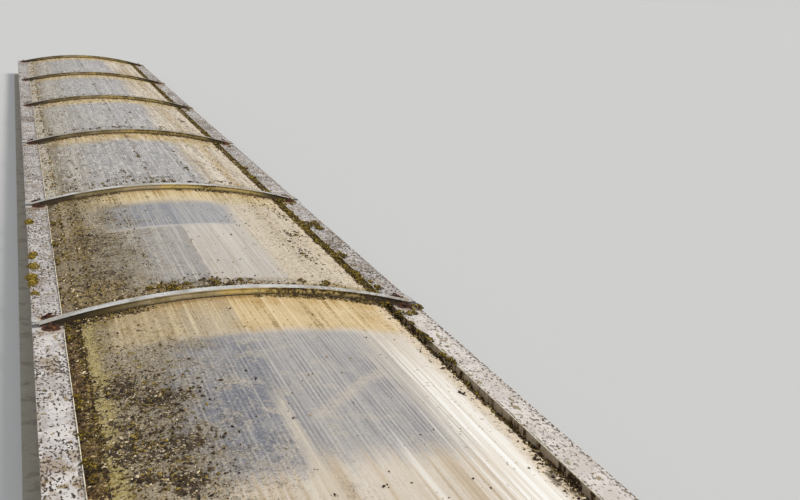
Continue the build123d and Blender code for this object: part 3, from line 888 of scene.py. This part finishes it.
def thinned(x, y, low, high, seed, pitch, strength=1.0):
    """The spots where a draw between low and high stays under the waves of that strength."""
    keep = dice.uniform(low, high, len(x)) < waves(x, y, seed, pitch) * strength
    return np.stack([x[keep], y[keep]])


def crumb_finish(name, roughness, ground, *steps):
    """A finish of crumbs. Each step is the shade that it starts and is full at, and its colour."""
    finish = Finish(name, Roughness=roughness)
    source = finish.node("ShaderNodeAttribute", {"attribute_name": "shade"})
    shade = Amount(finish, source.outputs["Fac"])
    finish.feed(ground, *((shade.rise(start, full), *colour) for start, full, *colour in steps))
    return finish


litter = crumb_finish(
    "dead_moss_and_grit", 0.9, (44, 31, 18),
    (0.30, 0.32, 78, 58, 26),
    (0.56, 0.58, 110, 92, 38),
    (0.74, 0.76, 146, 124, 56),
    (0.87, 0.89, 184, 162, 120),
    (0.95, 0.96, 226, 208, 172),
)
FAR_EDGE = 6.272
dice = np.random.default_rng(41)
bars = np.arange(-4.2, 6.4, BAY)
for side_name, sign in (("right", 1), ("left", -1)):
    count = 15000
    y = 6.40 - 12.8 * dice.random(count) ** 0.75
    over_edge = dice.random(count) < 0.45
    on_edge = 0.662 + 0.007 * dice.standard_normal(count)
    x = np.clip(np.where(over_edge, on_edge, dice.uniform(0.657, 0.7175, count)), 0.635, 0.7175) * sign
    heap = waves(y, x, 8, 0.25)
    quiet = (sign < 0) & (y > -4.1)
    bare = (sign < 0) & (y > -2.1)
    keep = dice.uniform(-1.1, 0.9, count) < heap + 0.2 - 0.5 * quiet - 0.30 * bare
    x, y, quiet, bare = x[keep], y[keep], quiet[keep], bare[keep]
    sizes = 0.0024 + 0.0064 * dice.random(len(x)) ** 2.4
    chance = dice.random(len(x))
    shades = chance ** np.where(quiet, 0.5, 1.2)
    shades = np.where(bare, np.where(chance < 0.45, chance, 0.8 + 0.2 * chance), shades)
    crumbs(f"litter_trough_{side_name}", on_silt(x, y, 0.3 * sizes), sizes, shades, 0.6, litter, 5)

areas = (
    # x from, x to, y from, y to, crumbs to the square metre, clumping
    (-0.658, -0.60, -6.30, -4.23, 2200, 1.0),
    (-0.60, -0.54, -6.30, -4.40, 7500, 1.0),
    (-0.56, -0.36, -6.30, -4.80, 5200, 0.8),
    (-0.56, -0.40, -4.80, -4.23, 1300, 0.9),
    (-0.658, -0.30, -4.16, -2.13, 4600, 0.9),
    (-0.658, -0.40, -2.06, 6.25, 1200, 0.8),
    (0.600, 0.658, -6.30, -4.23, 3600, 0.9),
    (0.400, 0.658, -4.16, -2.13, 2400, 0.9),
    (0.420, 0.658, -2.06, 6.25, 1500, 0.9),
    (-0.36, 0.58, -6.30, -4.25, 130, 0.6),
    (-0.36, 0.42, -4.16, 6.25, 320, 0.6),
)
kept = []
for x0, x1, y0, y1, density, clumping in areas:
    count = int((x1 - x0) * (y1 - y0) * density)
    x = dice.uniform(x0, x1, count)
    y = dice.uniform(y0, y1, count)
    kept.append(thinned(x, y, -clumping, clumping, 12, 0.16, 1.4))
for station in bars:
    x = dice.uniform(-0.655, 0.655, 2800)
    y = station + 0.026 + (0.20 if station < -4 else 0.34) * dice.random(2800) ** 2.4
    kept.append(thinned(x, y, -0.8, 0.9, int(40 + station), 0.30))
    to_right = dice.random(1100) < 0.7
    x = np.where(to_right, dice.uniform(0.16, 0.655, 1100), dice.uniform(-0.655, -0.30, 1100))
    y = station - 0.026 - 0.05 * dice.random(1100) ** 2
    kept.append(thinned(x, y, -0.8, 1.0, int(60 + station), 0.2))
x, y = np.concatenate(kept, axis=1)
inside = abs(y) < FAR_EDGE
x, y = x[inside], y[inside]
near_bar = abs(y - np.round(y / BAY) * BAY) < 0.1
sizes = (0.0016 + 0.0044 * dice.random(len(x)) ** 3) * np.where(near_bar, 1.4, 1.0)
shades = dice.random(len(x)) ** np.where(near_bar, 1.5, 1.1)
crumbs("litter_sheets", on_sheet(x, y, 0.3 * sizes), sizes, shades, 0.6, litter, 6)

patches = (
    # middle x, middle y, reach along x, reach along y
    (-0.57, -4.98, 0.06, 0.09), (-0.45, -5.12, 0.11, 0.04), (-0.60, -5.40, 0.05, 0.09),
    (-0.43, -5.48, 0.09, 0.05), (-0.45, -5.70, 0.06, 0.07), (-0.57, -5.62, 0.05, 0.05),
    (-0.24, -3.98, 0.09, 0.05), (-0.09, -4.02, 0.05, 0.08), (0.04, -4.04, 0.06, 0.04),
    (-0.62, -4.27, 0.03, 0.02), (-0.60, -3.40, 0.05, 0.40), (0.64, -5.90, 0.015, 0.12),
    (-0.50, -4.27, 0.06, 0.015), (0.60, -4.26, 0.05, 0.012), (-0.62, -4.12, 0.03, 0.03),
    (-0.50, -5.25, 0.10, 0.25), (-0.28, -4.08, 0.10, 0.04), (-0.08, -4.10, 0.08, 0.04),
    (0.03, -4.10, 0.05, 0.03), (0.30, -4.10, 0.05, 0.03), (0.50, -4.12, 0.09, 0.02),
    (-0.50, -4.08, 0.08, 0.05), (-0.20, -2.02, 0.22, 0.03), (0.30, -2.02, 0.20, 0.02),
    (0.55, -3.10, 0.04, 0.05), (0.50, -3.50, 0.02, 0.10), (0.60, -2.60, 0.02, 0.08),
    (-0.58, -2.70, 0.03, 0.35),
)
kept = []
for middle_x, middle_y, reach_x, reach_y in patches:
    count = int(4000 * np.sqrt(reach_x * reach_y))
    x = middle_x + reach_x * dice.standard_normal(count)
    y = middle_y + reach_y * dice.standard_normal(count)
    kept.append(thinned(x, y, -0.7, 0.7, 14, 0.06))
x, y = np.concatenate(kept, axis=1)
inside = (abs(y - bars[0]) > 0.03) & (abs(x) < 0.657)
x, y = x[inside], y[inside]
sizes = 0.0022 + 0.0060 * dice.random(len(x)) ** 2.0
shades = dice.random(len(x)) ** 1.1
crumbs("litter_patches", on_sheet(x, y, 0.3 * sizes), sizes, shades, 0.7, litter, 8)

# Stalks of dead moss and grass, thin and 10 to 20 mm long. Rain and birds strew them over the
# dirty left side of the nearer sheets, and some lie along the right edge.

count = 5000
x = np.concatenate([-0.655 + 0.42 * dice.random(count) ** 1.2, dice.uniform(0.40, 0.655, 500)])
y = np.concatenate([-6.3 + 4.1 * dice.random(count) ** 1.1, dice.uniform(-6.2, -2.2, 500)])
keep = dice.uniform(-1.0, 0.8, len(x)) < waves(x, y, 13, 0.20)
keep = keep & (abs(y - bars[0]) > 0.04) & (y < bars[1] - 0.04)
keep = keep & (dice.random(len(x)) < np.where((abs(y + 4.4) < 0.2) & (x > -0.6), 0.25, 1.0))
x, y = x[keep], y[keep]
sizes = dice.uniform(0.0006, 0.0011, len(x))
pale = dice.random(len(x)) < 0.45
shades = np.where(pale, dice.uniform(0.88, 1.0, len(x)), 0.6 * dice.random(len(x)))
crumbs("moss_stalks", on_sheet(x, y, 0.6 * sizes), sizes, shades, 0.8, litter, 18, 8.0)

# Single lumps of bark and dead moss, each where it lies on the sheets. Every lump is seven crumbs
# that have clung together.

lumps = np.array([
    # x, y, size in millimetres
    (-0.43, -4.28, 12), (-0.07, -4.38, 9), (-0.45, -4.48, 6), (-0.05, -4.60, 5), (-0.52, -4.63, 7),
    (0.41, -4.74, 6), (-0.13, -5.11, 8), (-0.14, -5.03, 7), (0.60, -5.27, 13), (0.63, -5.02, 10),
    (0.64, -5.10, 7), (-0.08, -5.44, 7), (-0.10, -5.78, 5), (-0.09, -5.93, 6), (0.10, -5.84, 5),
    (0.06, -5.92, 8), (-0.33, -5.42, 8), (0.65, -4.85, 7), (0.62, -4.46, 7), (-0.54, -4.60, 8),
    (-0.15, -2.31, 8), (-0.31, -2.60, 7), (-0.30, -3.19, 8), (0.26, -3.01, 8), (0.26, -3.39, 8),
    (0.59, -3.02, 14), (0.63, -3.09, 8), (0.48, -3.27, 12), (0.64, -2.77, 7), (-0.38, -2.76, 7),
    (0.37, -2.64, 7), (0.50, -3.50, 8), (0.47, -2.88, 7), (-0.51, -2.24, 8), (-0.34, -2.31, 6),
])
around = np.repeat(lumps, 7, axis=0)
spread = around[:, 2] * 0.0007
x = np.clip(around[:, 0] + dice.normal(0, 1, len(around)) * spread, -0.655, 0.655)
y = around[:, 1] + dice.normal(0, 1, len(around)) * spread
sizes = around[:, 2] * 0.00045 * dice.uniform(0.5, 1.2, len(around))
shades = 0.42 * dice.random(len(x))
crumbs("bark_lumps", on_sheet(x, y, 0.5 * sizes), sizes, shades, 0.7, litter, 7)

# Cushions of moss. Living moss holds on in the troughs, round the feet of the bars and on the
# rail edges, and dead cushions lie as brown heaps against the bars and along the seam.

living_moss = crumb_finish(
    "moss_cushions", 1.0, (50, 40, 20),
    (0.20, 0.28, 84, 68, 28),
    (0.45, 0.52, 126, 106, 36),
    (0.72, 0.78, 176, 152, 50),
    (0.90, 0.92, 96, 66, 36),
)

def cushions(middles, radii, tufts, seed):
    """Tufts of moss cushions: places on low domes, with their size and shade, darker towards the rim
    as painted shade.
    """
    dice = np.random.default_rng(seed)
    middles = np.repeat(middles, tufts, axis=0)
    radii = np.repeat(radii, tufts)
    out = np.sqrt(dice.random(len(radii)))
    turn = dice.uniform(0, 2 * np.pi, len(radii))
    lift = 0.55 * radii * np.sqrt(1 - 0.9 * out * out) * dice.uniform(0.75, 1.1, len(radii))
    steps = np.stack([0.8 * radii * out * np.cos(turn), 1.3 * radii * out * np.sin(turn), lift], -1)
    # Tufts darken towards the rim of each cushion: painted shade round its foot.
    shades = np.clip(dice.random(len(radii)) * 0.7 + 0.45 * (1 - out) - 0.1, 0, 1)
    return middles + steps, radii * dice.uniform(0.12, 0.26, len(radii)), shades


y = dice.uniform(-4.12, -2.16, 150)
middles = [on_silt(dice.uniform(0.662, 0.716, 150), y)]
reaches = ((-2.86, -2.66, 16), (-3.48, -3.34, 7), (-3.98, -3.86, 6))
y = np.concatenate([dice.uniform(*reach) for reach in reaches])
x = np.concatenate([dice.uniform(0.722, 0.800, 16), dice.uniform(0.722, 0.755, 13)])
middles.append(places_at(x, y, 0.193))
y = dice.uniform(-2.05, 6.2, 190)
middles.append(on_silt(dice.uniform(0.664, 0.716, 190), y))
y = dice.uniform(-6.2, -4.3, 10)
middles.append(on_silt(dice.uniform(0.690, 0.712, 10), y))
y = dice.uniform(-6.2, -2.2, 20)
middles.append(on_silt(-0.702 + 0.012 * dice.uniform(-1, 1, 20), y))
for foot in bars[:-1]:
    y = foot + dice.choice([-1, 1], 8) * dice.uniform(0.02, 0.05, 8)
    middles.append(places_at(dice.uniform(0.64, 0.72, 8), y, dice.uniform(0.198, 0.206, 8)))
    y = foot + dice.uniform(-0.15, 0.12, 9)
    y = np.where(abs(y - foot) < 0.03, foot - 0.04, y)
    x = dice.uniform(0.724, 0.830, 9)
    middles.append(places_at(x, y, np.where(abs(y - foot) < 0.09, 0.198, 0.191)))
y = dice.uniform(-4.95, -4.28, 16)
middles.append(places_at(dice.uniform(0.708, 0.722, 16), y, dice.uniform(0.190, 0.199, 16)))
reaches = ((-0.36, -0.14, 16), (-0.12, 0.10, 8), (0.25, 0.60, 6))
x = np.concatenate([dice.uniform(*reach) for reach in reaches])
middles.append(on_sheet(x, -4.13 + 0.12 * dice.random(30), -0.003))
x = dice.uniform(-0.40, 0.55, 24)
y = np.repeat(bars[1:-1], 6) + 0.036 + 0.02 * dice.random(24)
middles.append(on_sheet(x, y, -0.003))
middles = np.concatenate(middles)
places, sizes, shades = cushions(middles, dice.uniform(0.010, 0.026, len(middles)), 36, 9)
crumbs("moss", places, sizes, shades, 1.0, living_moss, 10)

y = np.array([-2.50, -2.53, -3.16, -3.21, -3.35, -3.37, -3.55, -3.58, -3.62, -3.65, -3.78])
middles = places_at(-0.832 + 0.016 * dice.random(11), y, 0.188)
places, sizes, shades = cushions(middles, dice.uniform(0.020, 0.036, 11), 70, 13)
crumbs("moss_rail_edge", places, sizes, 0.40 + 0.5 * shades, 1.0, living_moss, 14)

heaps = []
reaches = ((-0.36, 0.14, 34), (0.14, 0.64, 16), (-0.65, -0.36, 12))
for station in bars:
    x = np.concatenate([dice.uniform(*reach) for reach in reaches])
    reach = 0.10 * dice.random(len(x)) ** 1.6 if station < -4 else 0.26 * dice.random(len(x))
    heaps.append(on_sheet(x, station + 0.034 + reach, -0.002))
    x = np.concatenate([0.66 - 0.62 * dice.random(24) ** 1.2, dice.uniform(-0.66, -0.40, 12)])
    heaps.append(on_sheet(x, station - 0.030 - 0.03 * dice.random(len(x)) ** 2, -0.003))
for sign in (-1, 1):
    for foot in bars[:-1]:
        y = foot + dice.choice([-1, 1], 12) * dice.uniform(0.028, 0.075, 12)
        x = sign * dice.uniform(0.640, 0.735, 12)
        heaps.append(places_at(x, y, dice.uniform(0.196, 0.204, 12)))
heaps = np.concatenate(heaps)
heaps = heaps[heaps[:, 1] < FAR_EDGE]
places, sizes, shades = cushions(heaps, dice.uniform(0.007, 0.017, len(heaps)), 30, 21)
shades = dice.random(len(shades)) ** 1.3
crumbs("dead_moss", places, sizes, shades, 0.8, litter, 22)

rows = np.array([
    # middle x, middle y, reach along x, reach along y, heaps
    (-0.22, -1.55, 0.03, 0.08, 10), (-0.25, -1.73, 0.06, 0.03, 16), (0.23, -1.55, 0.010, 0.12, 10),
    (0.22, -1.00, 0.01, 0.25, 8), (-0.06, -1.10, 0.006, 0.42, 15), (-0.57, -1.55, 0.03, 0.15, 18),
    (-0.02, -1.76, 0.05, 0.02, 9), (-0.50, -0.80, 0.05, 0.25, 8), (-0.07, 1.10, 0.008, 0.45, 9),
    (-0.10, 0.30, 0.10, 0.03, 18), (-0.43, 0.32, 0.02, 0.03, 5), (-0.62, 0.42, 0.02, 0.12, 9),
    (0.05, 0.90, 0.06, 0.20, 9), (0.30, 0.40, 0.02, 0.10, 5), (0.55, 0.75, 0.03, 0.25, 12),
    (-0.06, 3.20, 0.008, 0.45, 5), (-0.06, 5.20, 0.008, 0.45, 4), (-0.10, 2.42, 0.20, 0.04, 16),
    (-0.10, 4.56, 0.20, 0.05, 16),
])
spread = np.repeat(rows, rows[:, 4].astype(int), axis=0)
x = np.clip(spread[:, 0] + spread[:, 2] * dice.standard_normal(len(spread)), -0.65, 0.65)
y = spread[:, 1] + spread[:, 3] * np.clip(dice.standard_normal(len(spread)), -1.8, 1.8)
places, sizes, shades = cushions(on_sheet(x, y, -0.002), dice.uniform(0.005, 0.015, len(x)), 22, 23)
shades = dice.random(len(shades)) ** 1.3
crumbs("dead_moss_rear", places, sizes, shades, 0.8, litter, 24)

# Crusts on the rails and feet. Lichen grows in low scabs on the rail tops, and the rust of the bolts
# has swollen to loose flakes that lie heaped round them.

BOLT_SEAT = 0.2075

scab = crumb_finish(
    "lichen_and_rust_scabs", 0.95, (76, 62, 42),
    (0.35, 0.36, 104, 84, 52),
    (0.60, 0.61, 136, 112, 50),
    (0.80, 0.81, 108, 92, 74),
    (1.05, 1.06, 78, 46, 34),
    (1.45, 1.46, 122, 72, 48),
    (1.62, 1.63, 46, 30, 25),
)
count = 5200
y = dice.uniform(-6.50, 6.50, count)
x = dice.uniform(0.726, 0.836, count) * dice.choice([-1, 1], count)
x, y = thinned(x, y, -1.0, 1.0, 15, 0.12, 1.3)
off_feet = abs(y - np.round(y / BAY) * BAY) > 0.105
x, y = x[off_feet], y[off_feet]
sizes = 0.0018 + 0.0050 * dice.random(len(x)) ** 2
places = places_at(x, y, RAIL_TOP + 0.0005)
crumbs("lichen_rails", places, sizes, dice.random(len(x)), 0.28, scab, 11)

bolts = [(side * BOLT_X, station + shift, BOLT_SEAT) for side in (-1, 1)
         for station in np.arange(-LAST_BAR, LAST_BAR + 0.1, BAY) for shift in (-BOLT_Y, BOLT_Y)]
middles = np.repeat(np.array(bolts), 110, axis=0)
out = 0.036 * np.sqrt(dice.random(len(middles)))
turn = dice.uniform(0, 2 * np.pi, len(middles))
heap = 0.018 * np.exp(-((out / 0.018) ** 4)) * dice.uniform(0.7, 1.1, len(out))
heap = heap + 0.004 * dice.random(len(out))
places = middles + np.stack([out * np.cos(turn), out * np.sin(turn), heap - 0.003], -1)
sizes = dice.uniform(0.0022, 0.0064, len(places))
crumbs("rust_flakes", places, sizes, 1.0 + dice.random(len(places)), 0.5, scab, 12)

# Studio: a pale floor to stand on, even light from all sides with a soft sun from the right, and
# the camera at eye height over the left-hand rail.

PALE = (0.62, 0.62, 0.61, 1.0)
FLOOR_REACH = 200
floor_mesh = bpy.data.meshes.new("floor")
signs = ((-1, -1), (1, -1), (1, 1), (-1, 1))
corners = [(FLOOR_REACH * a, FLOOR_REACH * b, -0.001) for a, b in signs]
floor_mesh.from_pydata(corners, [], [(0, 1, 2, 3)])
floor = bpy.data.objects.new("floor", floor_mesh)
floor_finish = Finish("pale_floor", Roughness=0.9, Base_Color=PALE)
floor_mesh.materials.append(floor_finish.material)
bpy.context.collection.objects.link(floor)

sky = bpy.data.worlds.new("studio")
sky.use_nodes = True
nodes = sky.node_tree.nodes
join = sky.node_tree.links.new
soft_light = nodes["Background"]
soft_light.inputs["Color"].default_value = (0.95, 0.97, 1.0, 1.0)
soft_light.inputs["Strength"].default_value = 0.60
backdrop = nodes.new("ShaderNodeBackground")
backdrop.inputs["Color"].default_value = PALE
ray = nodes.new("ShaderNodeLightPath")
seen = nodes.new("ShaderNodeMixShader")
join(ray.outputs["Is Camera Ray"], seen.inputs[0])
join(soft_light.outputs[0], seen.inputs[1])
join(backdrop.outputs[0], seen.inputs[2])
join(seen.outputs[0], nodes["World Output"].inputs[0])
bpy.context.scene.world = sky

lamp = bpy.data.lights.new("soft_sun", "SUN")
lamp.energy = 1.9
lamp.angle = 0.25
lamp.color = (1.0, 0.97, 0.92)
sun = bpy.data.objects.new("soft_sun", lamp)
sun.rotation_euler = Vector((-0.60, 0.55, -0.80)).to_track_quat("-Z", "Y").to_euler()
bpy.context.collection.objects.link(sun)

YAW, PITCH, ROLL = 0.3845, -0.2734, 0.0684
EYE = (-0.8593, -8.1798, 1.6606)
FOCAL_PIXELS = 969.95
FRAME_PIXELS = 800
ahead = Vector((np.sin(YAW) * np.cos(PITCH), np.cos(YAW) * np.cos(PITCH), np.sin(PITCH)))
level = Vector((np.cos(YAW), -np.sin(YAW), 0.0))
steep = level.cross(ahead)
right = np.cos(ROLL) * level + np.sin(ROLL) * steep
up = -np.sin(ROLL) * level + np.cos(ROLL) * steep
lens = bpy.data.cameras.new("eye")
lens.sensor_width = 36.0
lens.lens = FOCAL_PIXELS / FRAME_PIXELS * lens.sensor_width
lens.clip_end = 500.0
eye = bpy.data.objects.new("eye", lens)
eye.matrix_world = Matrix.Translation(EYE) @ Matrix((right, up, -ahead)).transposed().to_4x4()
bpy.context.collection.objects.link(eye)
bpy.context.scene.camera = eye
bpy.context.scene.view_settings.view_transform = "Standard"
